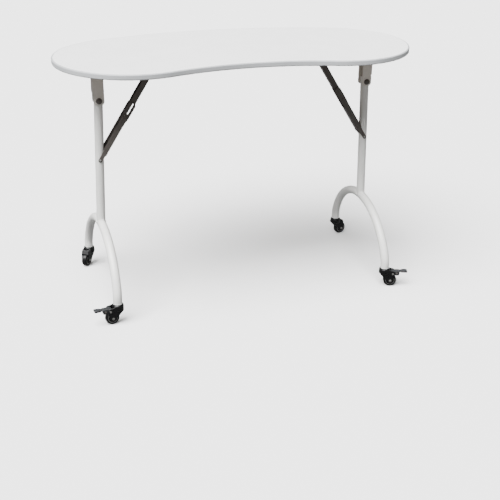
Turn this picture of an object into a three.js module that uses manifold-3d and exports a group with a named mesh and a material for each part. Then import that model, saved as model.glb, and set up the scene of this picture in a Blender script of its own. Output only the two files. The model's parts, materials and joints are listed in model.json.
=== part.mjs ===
// Folding manicure table: a kidney-shaped top on two folding legs, each with an arched foot on casters.
// Millimetres. X runs along the table, Y from the sitter's side to the back, Z up.
import * as THREE from 'three';
import { mergeVertices } from 'three/addons/utils/BufferGeometryUtils.js';
import Module from 'manifold-3d';

const wasm = await Module();
wasm.setup();
const { cos, sin, tan, hypot, atan2, sqrt, PI } = Math;
const { lerp, degToRad } = THREE.MathUtils;

// ---- table top
const TABLE_LENGTH = 1025;
const TABLE_WIDTH = 480;
const TABLE_HEIGHT = 700;
const BOARD_T = 15;
const LAMINATE_T = 0.8;
const EDGE_BAND_T = 4;
const LOBE_R = 216; // radius of the rounded ends
const WAIST_DEPTH = 48; // how far the sitter's side is hollowed
const LEG_PLANE_Y = -22.275; // both legs stand in this plane
const LOBE_Y = LEG_PLANE_Y + 10; // centre line of the rounded ends

// ---- leg
const HINGE_X = 396.5; // leg hinge bolt, from the middle
const HINGE_Z = 585;
const FOOT_X = 413.2; // caster stem, from the middle
const FOOT_Y = 201; // caster stem, from the leg plane
const TUBE_R = 12.5;
const TUBE_WALL = 1.3;
const POST_TOP = 15; // tube beyond the hinge bolt
const ARCH_TOP_Z = 221.5; // centre line of the arch at its crown
const ARCH_CENTRE_Z = 30; // the arch follows an ellipse about this height
const ARCH_HALF_WIDTH = 208;
const ARCH_BEND_Z = 90; // below this the tube bends upright
const ARCH_END_Z = 62;
const ARCH_TWIST = { left: 2.6, right: -0.8 }; // each foot stands askew about its post, in degrees
const WELD_GAP = 0.3;

// ---- hinge bracket
const SHEET = 2.2;
const EAR_GAP = 13.4; // inner face of each ear, from the leg plane
const EAR_OUTWARD = 14; // ear edges, from the bolt
const EAR_INWARD = 15;
const EAR_DROP = 112; // ear below the board
const EAR_CORNER = 9;
const WEB_LOW = 20.5; // web above the bolt, clear of the turning post
const PLATE_HALF = 42;
const BRACKET_SCREW_Y = 30;
const BOLT_R = 4;
const BOLT_HEAD_R = 8.6;
const NUT_R = 7.5;
const NUT_H = 6.5;

// ---- folding brace
const RIVET_DROP = 171.1; // post rivet below the hinge bolt, along the post
const ANCHOR_IN = 157; // anchor pin, from the hinge bolt
const ANCHOR_UP = 87;
const ELBOW = 145; // elbow stud, from the post rivet
const LOWER_END = 188; // lower link's upper end, from the post rivet
const LINK_HALF = 8;
const SPOON_HALF = 10.4; // half width of the lower link's wide end
const PLAIN_END_HALF = 9.2; // half width of the right lower link there, which has no slot
const TONGUE_HALF = 5.6; // half width in front of and behind the post
const LOWER_FLANGE = [13.1, 15]; // flange faces, from the leg plane
const UPPER_FLANGE = [9.4, 11.4];
const WEB_T = 1.9;
const SLOT_HALF = 3.4;
const PIN_R = 3;
const PIN_HEAD_R = 5;
const ANCHOR_EAR = [12, 14];
const ANCHOR_SCREW_X = 19;

// ---- caster
const WHEEL_R = 20;
const WHEEL_HALF = 9;
const TRAIL = 18; // axle behind the stem
const BOSS_R = 16.5;
const BOSS_TOP = 58.4;
const BOSS_LOW = 41.6;
const CHEEK = [9.7, 13]; // fork cheek faces, from the wheel's middle
const STEM_R = 5;
const STEM_TIP_R = 4;
const STEM_TIP_Z = 43.2;
const PLUG_LOW = 59;
const AXLE_R = 2.5;
const LEVER_PIVOT = [24.5, 42.5]; // behind the stem, above the floor
const LEVER_PIN_R = 2;
const LEVER_HALF = 8.6;
const LEVER_END = 69;
const CAM_GAP = 2.6; // brake cam above the tyre when released

// where each caster trails, in degrees from the table's +X; the front ones have brakes
const HEADING = { left_front: 187, left_rear: -129, right_front: -17, right_rear: 12 };

// ---- facets
const ROUND = 16; // sides of a round part
const PIN_SIDES = 12;
const HOLE_SIDES = 20;
const RUN = 0.03; // running clearance at a hole's flats

const lean = atan2(FOOT_X - HINGE_X, HINGE_Z - ARCH_END_Z);
const crownX = (ARCH_TOP_Z - HINGE_Z) * tan(lean); // arch crown in a side's frame
const footX = HINGE_X - FOOT_X - crownX; // caster stem, from the crown
const underside = TABLE_HEIGHT - BOARD_T;
const boardUp = underside - HINGE_Z; // board's lower face, from the hinge bolt

const looks = {
  board_core: { color: 0xb89b72, roughness: 0.8, metalness: 0 },
  white_laminate: { color: 0xf1f2f1, roughness: 0.35, metalness: 0 },
  edge_trim: { color: 0xd2d3d4, roughness: 0.4, metalness: 0 },
  white_powder_coat: { color: 0xe6e6e3, roughness: 0.4, metalness: 0 },
  bracket_paint: { color: 0xc9c8c5, roughness: 0.45, metalness: 0 },
  dark_steel: { color: 0x3e3a38, roughness: 0.42, metalness: 0.7 },
  zinc_steel: { color: 0x8c8c8a, roughness: 0.35, metalness: 0.9 },
  white_plastic: { color: 0xe8e8e6, roughness: 0.5, metalness: 0 },
  black_plastic: { color: 0x121213, roughness: 0.3, metalness: 0 },
  wheel_plastic: { color: 0x1a1a1b, roughness: 0.35, metalness: 0 },
  grey_plastic: { color: 0x3c3d40, roughness: 0.45, metalness: 0 },
};

function addMesh(parent, name, geometry, look) {
  const mesh = new THREE.Mesh(geometry, new THREE.MeshStandardMaterial(looks[look]));
  mesh.name = name;
  parent.add(mesh);
  return mesh;
}

function addGroup(parent, x, y, z) {
  const group = new THREE.Group();
  group.position.set(x, y, z);
  parent.add(group);
  return group;
}

// ---------------------------------------------------------------- joining and cutting
function toSolid(geometry) {
  const bare = geometry.clone();
  bare.deleteAttribute('normal');
  bare.deleteAttribute('uv');
  const merged = mergeVertices(bare, 1e-4);
  return new wasm.Manifold(new wasm.Mesh({
    numProp: 3,
    vertProperties: new Float32Array(merged.attributes.position.array),
    triVerts: new Uint32Array(merged.index.array),
  }));
}

function toGeometry(solid) {
  const mesh = solid.getMesh();
  const geometry = new THREE.BufferGeometry();
  geometry.setAttribute('position', new THREE.BufferAttribute(new Float32Array(mesh.vertProperties), 3));
  geometry.setIndex(new THREE.BufferAttribute(new Uint32Array(mesh.triVerts), 1));
  geometry.computeVertexNormals();
  return geometry;
}

const join = (...pieces) => toGeometry(pieces.map(toSolid).reduce((all, piece) => all.add(piece)));
const cut = (piece, ...tools) =>
  toGeometry(tools.map(toSolid).reduce((rest, tool) => rest.subtract(tool), toSolid(piece)));

// ---------------------------------------------------------------- basic shapes
function block(x0, x1, y0, y1, z0, z1) {
  const geometry = new THREE.BoxGeometry(x1 - x0, y1 - y0, z1 - z0);
  return geometry.translate((x0 + x1) / 2, (y0 + y1) / 2, (z0 + z1) / 2);
}

function rodY(r, y0, y1, x = 0, z = 0, sides = ROUND) {
  return new THREE.CylinderGeometry(r, r, y1 - y0, sides).translate(x, (y0 + y1) / 2, z);
}

function rodZ(r, z0, z1, x = 0, y = 0, sides = ROUND) {
  return new THREE.CylinderGeometry(r, r, z1 - z0, sides).rotateX(PI / 2).translate(x, y, (z0 + z1) / 2);
}

// hole radius whose flats clear a round pin at any angle
const holeR = (r) => (r + RUN) / cos(PI / HOLE_SIDES) + 0.01;
const holeY = (r, x = 0, z = 0) => rodY(holeR(r), -30, 30, x, z, HOLE_SIDES);

// a sheet cut to an outline in XZ, between two Y values
function plate(points, y0, y1) {
  const shape = new THREE.Shape(points.map(([x, z]) => new THREE.Vector2(x, z)));
  const geometry = new THREE.ExtrudeGeometry(shape, { depth: y1 - y0, bevelEnabled: false });
  return geometry.rotateX(PI / 2).translate(0, y1, 0);
}

const bothFlanges = (points, [near, far]) => [plate(points, -far, -near), plate(points, near, far)];

// turned about Z from [radius, height] points, starting and ending on the axis
function turned(profile, sides = ROUND) {
  const points = profile.map(([r, z]) => new THREE.Vector2(r, z));
  return new THREE.LatheGeometry(points, sides).rotateX(PI / 2);
}

// turned along Y, heading backwards from y = 0
const turnedY = (profile, sides) => turned(profile, sides).rotateX(-PI / 2);

function arc(x, z, r, from, to, steps) {
  return Array.from({ length: steps + 1 }, (_, i) => {
    const a = degToRad(lerp(from, to, i / steps));
    return [x + r * cos(a), z + r * sin(a)];
  });
}

// an upright slot through a link, with round ends
function slot(x0, x1) {
  const right = arc(x1 - SLOT_HALF, 0, SLOT_HALF, -90, 90, 4);
  const left = arc(x0 + SLOT_HALF, 0, SLOT_HALF, 90, 270, 4);
  const ends = [...right, ...left];
  return plate(ends, -30, 30);
}

// closed rings of equal length joined one above the other and back to the first
function loopStrip(rings) {
  const count = rings[0].length;
  const positions = rings.flat(2);
  const index = [];
  rings.forEach((_, k) => {
    const above = (k + 1) % rings.length;
    for (let i = 0; i < count; i++) {
      const [a, b] = [k * count + i, k * count + ((i + 1) % count)];
      const [c, d] = [above * count + i, above * count + ((i + 1) % count)];
      index.push(a, b, c, b, d, c);
    }
  });
  const geometry = new THREE.BufferGeometry();
  geometry.setAttribute('position', new THREE.Float32BufferAttribute(positions, 3));
  geometry.setIndex(index);
  geometry.computeVertexNormals();
  return geometry;
}

const root = new THREE.Group();

// ---------------------------------------------------------------- table top
// Four arcs that meet smoothly: the shallow back, the left end, the hollowed front and the right end.
const lobeX = TABLE_LENGTH / 2 - LOBE_R;
const backBulge = TABLE_WIDTH - LOBE_R;
const backR = (lobeX ** 2 + backBulge ** 2 - LOBE_R ** 2) / (2 * (backBulge - LOBE_R));
const backY = backBulge - backR;
const waistBulge = LOBE_R - WAIST_DEPTH;
const waistR = (lobeX ** 2 + waistBulge ** 2 - LOBE_R ** 2) / (2 * (LOBE_R - waistBulge));
const waistY = -(waistBulge + waistR);

function outline(inset) {
  const backEnd = atan2(-backY, lobeX);
  const waistEnd = atan2(-waistY, lobeX);
  const arcs = [
    [0, backY, backR - inset, backEnd, PI - backEnd, 18],
    [-lobeX, 0, LOBE_R - inset, PI - backEnd, 2 * PI - waistEnd, 22],
    [0, waistY, waistR + inset, PI - waistEnd, waistEnd, 14],
    [lobeX, 0, LOBE_R - inset, waistEnd - PI, backEnd, 22],
  ];
  return arcs.flatMap(([x, y, r, from, to, steps]) => Array.from({ length: steps }, (_, i) => {
    const a = lerp(from, to, i / steps);
    return new THREE.Vector2(x + r * cos(a), LOBE_Y + y + r * sin(a));
  }));
}

function slab(inset, z0, z1) {
  const shape = new THREE.Shape(outline(inset));
  return new THREE.ExtrudeGeometry(shape, { depth: z1 - z0, bevelEnabled: false }).translate(0, 0, z0);
}

const boardTop = TABLE_HEIGHT - LAMINATE_T;
addMesh(root, 'tabletop_board', slab(EDGE_BAND_T, underside, boardTop), 'board_core');
addMesh(root, 'tabletop_laminate', slab(EDGE_BAND_T, boardTop, TABLE_HEIGHT), 'white_laminate');

// edge band: a strip with rounded outer edges, from its lower inner edge round to its upper one
const bandSection = [[EDGE_BAND_T, 0], [1.4, 0.6], [0, 4], [0, BOARD_T - 4], [1.4, BOARD_T - 0.6],
  [EDGE_BAND_T, BOARD_T]];
const bandRings = bandSection.map(([inset, up]) => outline(inset).map((p) => [p.x, p.y, underside + up]));
addMesh(root, 'edge_band', loopStrip(bandRings), 'edge_trim');

// ---------------------------------------------------------------- foot arch
// Centre line from the crown's foot on the hinge's level, X towards the table's middle: half an ellipse
// that leans with the post, whose ends bend upright without a kink.
class ArchCurve extends THREE.Curve {
  getPoint(t, target = new THREE.Vector3()) {
    const along = 2 * t - 1;
    const rise = ARCH_TOP_Z - ARCH_CENTRE_Z;
    const bendAngle = Math.asin((ARCH_BEND_Z - ARCH_CENTRE_Z) / rise);
    const ends = 0.1; // share of each half that is the bent tube end
    const down = Math.max(Math.abs(along) - (1 - ends), 0) / ends;
    const a = lerp(PI / 2, bendAngle, Math.min(Math.abs(along) / (1 - ends), 1));
    let z = ARCH_CENTRE_Z + rise * sin(a);
    let y = ARCH_HALF_WIDTH * cos(a);
    let x = (z - ARCH_TOP_Z) * tan(lean);
    if (down > 0) {
      const spread = (ARCH_HALF_WIDTH / rise) * tan(bendAngle);
      const bendLength = (2 * (FOOT_Y - y)) / spread;
      z = lerp(ARCH_BEND_Z, ARCH_END_Z, down);
      const bent = Math.min((ARCH_BEND_Z - z) / bendLength, 1);
      const eased = bent * (2 - bent);
      y = lerp(y, FOOT_Y, eased);
      x = lerp(x, footX, eased);
    }
    return target.set(x, Math.sign(along) * y, z - HINGE_Z);
  }
}

function archGeometry() {
  const section = new THREE.Shape().absarc(0, 0, TUBE_R, 0, 2 * PI);
  section.holes.push(new THREE.Path().absarc(0, 0, TUBE_R - TUBE_WALL, 0, 2 * PI));
  return new THREE.ExtrudeGeometry(section, { extrudePath: new ArchCurve(), steps: 32, curveSegments: 5 });
}

// ---------------------------------------------------------------- small hardware
function screw(headR, headH, shankR, shankLength) {
  return turned([[0, -headH], [headR * 0.55, -headH], [headR * 0.9, -headH * 0.6], [headR, 0], [shankR, 0],
    [shankR, shankLength], [0, shankLength]], PIN_SIDES);
}

// rivet along Y with a domed head at each end
function rivet(length) {
  const dome = 2.6;
  return turnedY([[0, -dome - 0.6], [PIN_HEAD_R * 0.68, -dome], [PIN_HEAD_R, 0], [PIN_R, 0], [PIN_R, length],
    [PIN_HEAD_R, length], [PIN_HEAD_R * 0.68, length + dome], [0, length + dome + 0.6]], PIN_SIDES);
}

// ---------------------------------------------------------------- casters
// Drawn with the stem on the Z axis, trailing along +X and the axle along Y, floor at z = 0.
const STEM_TOP = 74; // stem and plug reach this far up the tube

function tubePlug() {
  const insertR = TUBE_R - TUBE_WALL - 1.6;
  const body = turned([[0, PLUG_LOW], [TUBE_R, PLUG_LOW], [TUBE_R, ARCH_END_Z - WELD_GAP],
    [insertR, ARCH_END_Z - WELD_GAP], [insertR - 0.2, STEM_TOP - 1], [0, STEM_TOP - 1]], ROUND);
  return cut(body, rodZ(holeR(STEM_R), 0, 200, 0, 0, HOLE_SIDES));
}

const stem = () => turned([[0, STEM_TIP_Z], [STEM_TIP_R, STEM_TIP_Z], [STEM_TIP_R, BOSS_TOP + 0.3],
  [STEM_R, BOSS_TOP + 0.3], [STEM_R, STEM_TOP], [0, STEM_TOP]]);

function fork(brake) {
  const boss = turned([[0, BOSS_LOW], [BOSS_R - 2, BOSS_LOW], [BOSS_R, BOSS_LOW + 2], [BOSS_R, BOSS_TOP - 3],
    [BOSS_R - 2.6, BOSS_TOP], [0, BOSS_TOP]], 20);
  const nose = brake ? [[30.5, 32], [31.5, 49]] : [[27.5, 30], [22, 50]];
  const cheek = [[-9.5, 55], [-14.5, 43], ...arc(TRAIL, WHEEL_R, 8, 215, 350, 6), ...nose, [10, 55]];
  const spacer = block(-9.5, 10, -CHEEK[1], CHEEK[1], BOSS_LOW, 54);
  const body = join(boss, ...bothFlanges(cheek, CHEEK), spacer);
  const holes = [rodZ(holeR(STEM_TIP_R), STEM_TIP_Z - 0.4, BOSS_TOP + 1, 0, 0, HOLE_SIDES),
    holeY(AXLE_R, TRAIL, WHEEL_R)];
  if (brake) holes.push(holeY(LEVER_PIN_R, ...LEVER_PIVOT));
  return cut(body, ...holes);
}

function wheel() {
  const body = turnedY([[0, -WHEEL_HALF], [7, -WHEEL_HALF], [13, -7], [16.5, -8.4], [WHEEL_R, -5],
    [WHEEL_R, 5], [16.5, 8.4], [13, 7], [7, WHEEL_HALF], [0, WHEEL_HALF]], 20);
  return cut(body, holeY(AXLE_R));
}

// headed pin across the fork, from its front face
function crossPin(r, headR) {
  const length = 2 * CHEEK[1] + 0.2;
  return turnedY([[0, -1.6], [headR * 0.8, -1.2], [headR, 0], [r, 0], [r, length], [headR, length],
    [headR * 0.8, length + 1.2], [0, length + 1.6]], PIN_SIDES);
}

// brake lever: cam housing over the tyre, bar and wider pedal
function brakeLever() {
  const housing = [[18.9, 47], [18.9, 43.6], ...arc(TRAIL, WHEEL_R, WHEEL_R + CAM_GAP, 76, 42, 6), [44, 35.5],
    [45.5, 43], [46, 48], [44, 50.5], [22, 50.5]];
  const pedal = [[50, 46], [LEVER_END - 3, 45], [LEVER_END, 47], [LEVER_END, 50], [LEVER_END - 4, 52],
    [54, 51.2], [50, 50]];
  const bar = block(40, 56, -6, 6, 46.4, 50.5);
  const body = join(plate(housing, -LEVER_HALF, LEVER_HALF), bar, plate(pedal, -LEVER_HALF, LEVER_HALF));
  return cut(body, holeY(LEVER_PIN_R, ...LEVER_PIVOT));
}

function buildCaster(foot, tag, heading, brake) {
  addMesh(foot, `tube_plug_${tag}`, tubePlug(), 'white_plastic');
  addMesh(foot, `caster_stem_${tag}`, stem(), 'zinc_steel');
  const swivel = addGroup(foot, 0, 0, 0);
  swivel.rotation.z = heading;
  addMesh(swivel, `caster_fork_${tag}`, fork(brake), 'black_plastic');
  addMesh(swivel, `caster_wheel_${tag}`, wheel(), 'wheel_plastic').position.set(TRAIL, 0, WHEEL_R);
  const axle = addMesh(swivel, `caster_axle_${tag}`, crossPin(AXLE_R, 4), 'zinc_steel');
  axle.position.set(TRAIL, -CHEEK[1] - 0.1, WHEEL_R);
  if (!brake) return;
  addMesh(swivel, `brake_lever_${tag}`, brakeLever(), 'grey_plastic');
  const pin = addMesh(swivel, `lever_pin_${tag}`, crossPin(LEVER_PIN_R, 3.2), 'zinc_steel');
  pin.position.set(LEVER_PIVOT[0], -CHEEK[1] - 0.1, LEVER_PIVOT[1]);
}

// ---------------------------------------------------------------- one side of the table
// Each side's frame starts at its hinge bolt with X towards the middle of the table. The right side is
// the left one turned half round, so its sitter's side is +Y.
const braceReach = new THREE.Vector2(
  ANCHOR_IN + RIVET_DROP * sin(lean),
  ANCHOR_UP + RIVET_DROP * cos(lean),
);
const braceLength = braceReach.length();
const braceAngle = braceReach.angle();

function hingeBracket() {
  const low = boardUp - EAR_DROP + EAR_CORNER;
  const ear = [[-EAR_OUTWARD, boardUp], ...arc(-EAR_OUTWARD + EAR_CORNER, low, EAR_CORNER, 180, 270, 5),
    ...arc(EAR_INWARD - EAR_CORNER, low, EAR_CORNER, 270, 360, 5), [EAR_INWARD, boardUp]];
  const earOut = EAR_GAP + SHEET;
  const web = block(-EAR_OUTWARD - SHEET, -EAR_OUTWARD + 0.2, -earOut, earOut, WEB_LOW, boardUp);
  const base = block(-EAR_OUTWARD - SHEET, EAR_INWARD, -PLATE_HALF, PLATE_HALF, boardUp - SHEET, boardUp);
  const body = join(...bothFlanges(ear, [EAR_GAP, earOut]), web, base);
  const screwHole = (y) => rodZ(2.6, boardUp - 5, boardUp + 1, 0, y, PIN_SIDES);
  return cut(body, holeY(BOLT_R), screwHole(-BRACKET_SCREW_Y), screwHole(BRACKET_SCREW_Y));
}

function hingeBolt() {
  const length = 2 * (EAR_GAP + SHEET) + NUT_H + 2.5;
  return turnedY([[0, -6.2], [5, -5.6], [8.2, -2.6], [BOLT_HEAD_R, 0], [BOLT_R, 0], [BOLT_R, length],
    [0, length]], ROUND);
}

function hingeNut() {
  const hexagon = new THREE.CylinderGeometry(NUT_R, NUT_R, NUT_H, 6).translate(0, NUT_H / 2, 0);
  return cut(hexagon, holeY(BOLT_R));
}

// leg tube, coped onto the arch's crown and drilled for the hinge bolt and the brace rivet
function legPost(twist) {
  const length = (HINGE_Z - ARCH_TOP_Z) / cos(lean);
  const tube = rodZ(TUBE_R, -length, POST_TOP, 0, 0, 20);
  const inside = rodZ(TUBE_R - TUBE_WALL, -length - 1, POST_TOP + 1, 0, 0, PIN_SIDES);
  const saddle = rodY(TUBE_R + WELD_GAP, -40, 40, 0, -length, 24).rotateZ(degToRad(twist));
  return cut(tube, inside, saddle, holeY(BOLT_R), holeY(PIN_R, 0, -RIVET_DROP));
}

// Links are drawn along +X from the post rivet, with their webs towards -Z. By the elbow the lower link is
// wide on the sitter's side, front, and the upper link's other flange is narrow. The left links are slotted.
const flangeAt = (side, points, [near, far]) => plate(points, side < 0 ? -far : near, side < 0 ? -near : far);

function lowerLink(front) {
  const tilt = PI / 2 + lean - braceAngle; // between the brace and the post
  const fromPost = (z) => (TUBE_R + 1) / sin(tilt) + z / tan(tilt); // where full width starts
  const flange = (endHalf) => [
    ...arc(0, 0, TONGUE_HALF, 90, 270, 6),
    [fromPost(-TONGUE_HALF), -TONGUE_HALF],
    [fromPost(-LINK_HALF) + 8, -LINK_HALF],
    [ELBOW - 18, -LINK_HALF],
    [ELBOW - 5, -endHalf],
    ...arc(LOWER_END - endHalf, 0, endHalf, -75, 75, 6),
    [ELBOW - 5, endHalf],
    [ELBOW - 18, LINK_HALF],
    [fromPost(LINK_HALF), LINK_HALF],
    [fromPost(TONGUE_HALF), TONGUE_HALF],
  ];
  const far = LOWER_FLANGE[1];
  const web = block(30, ELBOW - 30, -far, far, -LINK_HALF, WEB_T - LINK_HALF);
  const near = flangeAt(front, flange(front < 0 ? SPOON_HALF : PLAIN_END_HALF), LOWER_FLANGE);
  const facing = front < 0 ? cut(near, slot(ELBOW + 6, LOWER_END - 3)) : near;
  const body = join(facing, flangeAt(-front, flange(LINK_HALF), LOWER_FLANGE), web);
  return cut(body, holeY(PIN_R), holeY(PIN_R, ELBOW));
}

function upperLink(front) {
  const full = arc(braceLength, 0, LINK_HALF, -90, 90, 6);
  const wide = [...full, ...arc(ELBOW, 0, LINK_HALF, 90, 270, 6)];
  const narrow = [...full, [LOWER_END + 4, LINK_HALF], [LOWER_END - 6, TONGUE_HALF],
    ...arc(ELBOW, 0, TONGUE_HALF, 90, 270, 6), [LOWER_END - 6, -TONGUE_HALF], [LOWER_END + 4, -LINK_HALF]];
  const far = UPPER_FLANGE[1];
  const web = block(LOWER_END + 4, braceLength - 14, -far, far, -LINK_HALF, WEB_T - LINK_HALF);
  const near = flangeAt(front, wide, UPPER_FLANGE);
  const facing = front < 0 ? cut(near, slot(ELBOW - SLOT_HALF, LOWER_END - 2)) : near;
  const body = join(facing, flangeAt(-front, narrow, UPPER_FLANGE), web);
  return cut(body, holeY(PIN_R, braceLength));
}

// stud in one flange of the lower link; its tip stops just short of the upper link
function elbowStud() {
  const tip = LOWER_FLANGE[1] - UPPER_FLANGE[1] - 0.3;
  return turnedY([[0, -2.5], [3.4, -2], [PIN_HEAD_R, 0], [PIN_R, 0], [PIN_R, tip], [0, tip]], PIN_SIDES);
}

function anchorBracket() {
  const up = boardUp - ANCHOR_UP;
  const ear = [[-10, up], [-10, 1], ...arc(0, 0, 8.5, 200, 340, 6), [10, 1], [10, up]];
  const base = block(-26, 26, -ANCHOR_EAR[1], ANCHOR_EAR[1], up - 2, up);
  const body = join(...bothFlanges(ear, ANCHOR_EAR), base);
  const screwHoles = [-1, 1].map((s) => rodZ(2.1, up - 5, up + 1, s * ANCHOR_SCREW_X, 0, PIN_SIDES));
  return cut(body, holeY(PIN_R), ...screwHoles);
}

function buildSide(side, tag) {
  const frame = addGroup(root, side * HINGE_X, LEG_PLANE_Y, HINGE_Z);
  const turn = side < 0 ? 0 : PI;
  frame.rotation.z = turn;
  const front = side; // the sitter's side in this frame
  const ends = [['front', front], ['rear', -front]];

  addMesh(frame, `hinge_bracket_${tag}`, hingeBracket(), 'bracket_paint');
  for (const [end, s] of ends) {
    const fixing = addMesh(frame, `bracket_screw_${end}_${tag}`, screw(4.6, 2.6, 2.4, SHEET), 'zinc_steel');
    fixing.position.set(0, s * BRACKET_SCREW_Y, boardUp - SHEET);
  }
  const bolt = addMesh(frame, `hinge_bolt_${tag}`, hingeBolt(), 'dark_steel');
  bolt.position.y = front * (EAR_GAP + SHEET);
  bolt.rotation.z = turn;
  const nut = addMesh(frame, `hinge_nut_${tag}`, hingeNut(), 'dark_steel');
  nut.position.y = -front * (EAR_GAP + SHEET);
  nut.rotation.z = turn;

  const leg = addGroup(frame, 0, 0, 0);
  leg.rotation.y = lean;
  addMesh(leg, `leg_post_${tag}`, legPost(ARCH_TWIST[tag]), 'white_powder_coat');
  const twist = degToRad(ARCH_TWIST[tag]);
  const arch = addGroup(frame, crownX, 0, 0);
  arch.rotation.z = twist;
  addMesh(arch, `foot_arch_${tag}`, archGeometry(), 'white_powder_coat');
  for (const [end, s] of ends) {
    const foot = addGroup(arch, footX, s * FOOT_Y, -HINGE_Z);
    const corner = `${tag}_${end}`;
    buildCaster(foot, corner, degToRad(HEADING[corner]) - turn - twist, end === 'front');
  }

  const brace = addGroup(leg, 0, 0, -RIVET_DROP);
  brace.rotation.y = -lean - braceAngle;
  const through = LOWER_FLANGE[1] + 0.1;
  const pin = addMesh(brace, `brace_rivet_${tag}`, rivet(2 * through), 'zinc_steel');
  pin.position.y = -through;
  addMesh(brace, `brace_lower_${tag}`, lowerLink(front), 'dark_steel');
  addMesh(brace, `brace_upper_${tag}`, upperLink(front), 'dark_steel');
  for (const [end, s] of ends) {
    const stud = addMesh(brace, `elbow_stud_${end}_${tag}`, elbowStud(), 'dark_steel');
    stud.position.set(ELBOW, s * LOWER_FLANGE[1], 0);
    stud.rotation.z = s < 0 ? 0 : PI;
  }

  const anchor = addGroup(frame, ANCHOR_IN, 0, ANCHOR_UP);
  addMesh(anchor, `brace_anchor_${tag}`, anchorBracket(), 'bracket_paint');
  const anchorThrough = ANCHOR_EAR[1] + 0.1;
  const anchorPin = addMesh(anchor, `anchor_pin_${tag}`, rivet(2 * anchorThrough), 'dark_steel');
  anchorPin.position.y = -anchorThrough;
  for (const [end, s] of [['outer', -1], ['inner', 1]]) {
    const fixing = addMesh(anchor, `anchor_screw_${end}_${tag}`, screw(3.6, 1.8, 1.9, 2), 'zinc_steel');
    fixing.position.set(s * ANCHOR_SCREW_X, 0, boardUp - ANCHOR_UP - 2);
  }
}

buildSide(-1, 'left');
buildSide(1, 'right');

export default root;
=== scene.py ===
"""The looks of a folding manicure table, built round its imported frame. Local shapes are in millimetres."""
import json
from math import atan2, cos, pi, radians, sin, sqrt, tan

import bmesh
import bpy
from mathutils import Matrix, Vector


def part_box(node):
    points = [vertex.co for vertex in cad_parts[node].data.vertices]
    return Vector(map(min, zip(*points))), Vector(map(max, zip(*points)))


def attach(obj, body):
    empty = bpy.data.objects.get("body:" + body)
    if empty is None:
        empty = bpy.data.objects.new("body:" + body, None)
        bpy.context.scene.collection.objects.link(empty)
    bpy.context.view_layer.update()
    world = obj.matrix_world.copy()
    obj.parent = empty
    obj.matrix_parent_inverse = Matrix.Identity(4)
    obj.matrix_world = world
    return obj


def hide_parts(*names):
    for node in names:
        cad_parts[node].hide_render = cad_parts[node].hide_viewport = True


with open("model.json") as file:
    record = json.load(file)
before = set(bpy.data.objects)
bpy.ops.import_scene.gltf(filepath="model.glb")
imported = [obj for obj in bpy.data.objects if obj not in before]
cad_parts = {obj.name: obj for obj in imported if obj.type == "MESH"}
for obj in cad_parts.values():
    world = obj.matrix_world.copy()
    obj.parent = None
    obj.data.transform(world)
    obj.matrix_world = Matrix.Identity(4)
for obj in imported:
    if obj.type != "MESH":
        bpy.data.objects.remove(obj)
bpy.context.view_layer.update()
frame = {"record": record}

MM = 0.001

behaviour = frame["record"]["behaviour"]
joints = {joint["name"]: joint for joint in behaviour["joints"]}
body_of_node = {node: body for body, nodes in behaviour["bodies"].items() for node in nodes}
slot_of_node = {part["node"]: part["material_slot"] for part in frame["record"]["subparts"]}
SIDES = ("left", "right")
CORNERS = ("left_front", "left_rear", "right_front", "right_rear")
BRAKED = ("left_front", "right_front")


def joint_place(name):
    """A joint's centre, in millimetres."""
    return Vector(joints[name]["pos_m"]) / MM


def moved(x, y, z):
    """A shift, in millimetres."""
    return Matrix.Translation((x, y, z))


# ---- sizes of the frame, in millimetres
THROUGH = 30  # half length of a tool that cuts through a piece
TUBE_R = 12.5
TUBE_WALL = 1.3
LOBE_R = 216
WAIST_DEPTH = 48
LOBE_Y_FROM_LEGS = 10
BAND_T = 4
LAMINATE_T = 0.8
POST_TOP = 15
ARCH_TOP_Z = 221.5
ARCH_CENTRE_Z = 30
ARCH_HALF_WIDTH = 208
ARCH_BEND_Z = 90
ARCH_END_Z = 62
SHEET = 2.2
BRACKET_BEND = 3.4
EAR_GAP = 13.4
EAR_OUTWARD = 14
EAR_INWARD = 15
EAR_DROP = 112
WEB_LOW = 20.5
PLATE_HALF = 42
BRACKET_SCREW_Y = 30
BOLT_R = 4
PIN_R = 3
ELBOW = 145
LOWER_END = 188
LINK_HALF = 8
SPOON_HALF = 10.4
PLAIN_END_HALF = 9.2
TONGUE_HALF = 5.6
SLOT_HALF = 3.4
LOWER_FLANGE = (13.1, 15)
UPPER_FLANGE = (9.4, 11.4)
ANCHOR_EAR = (12, 14)
ANCHOR_SCREW_X = 19
ANCHOR_BASE_T = 2
LINK_BEND = 2.6
WHEEL_R = 20
WHEEL_HALF = 9
TRAIL = 18
BOSS_R = 16.5
BOSS_TOP = 58.4
BOSS_LOW = 41.6
CHEEK = (9.9, 13)
AXLE_R = 2.5
LEVER_PIVOT = (24.5, 42.5)
LEVER_HALF = 8.4
LEVER_END = 69
CAM_GAP = 2.6
HOOD_GAP = 2.2
LEVER_PIN_R = 2


# ================================================================ mesh making
def build_mesh(verts, faces):
    """A closed mesh with merged points and its faces pointing out."""
    mesh = bpy.data.meshes.new("shape")
    mesh.from_pydata([tuple(v) for v in verts], [], faces)
    bm = bmesh.new()
    bm.from_mesh(mesh)
    bmesh.ops.remove_doubles(bm, verts=bm.verts, dist=1e-4)
    bmesh.ops.recalc_face_normals(bm, faces=bm.faces)
    bm.to_mesh(mesh)
    bm.free()
    return mesh


def loft(rings, caps=True, loop=False):
    """Rings of equal length joined in order, with end faces, or back to the first ring."""
    count = len(rings[0])
    verts = [point for ring in rings for point in ring]
    faces = []
    for k in range(len(rings) if loop else len(rings) - 1):
        low, high = k * count, (k + 1) % len(rings) * count
        for i in range(count):
            j = (i + 1) % count
            faces.append((low + i, low + j, high + j, high + i))
    if caps and not loop:
        faces.append(tuple(range(count))[::-1])
        faces.append(tuple(range(len(verts) - count, len(verts))))
    return build_mesh(verts, faces)


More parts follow.
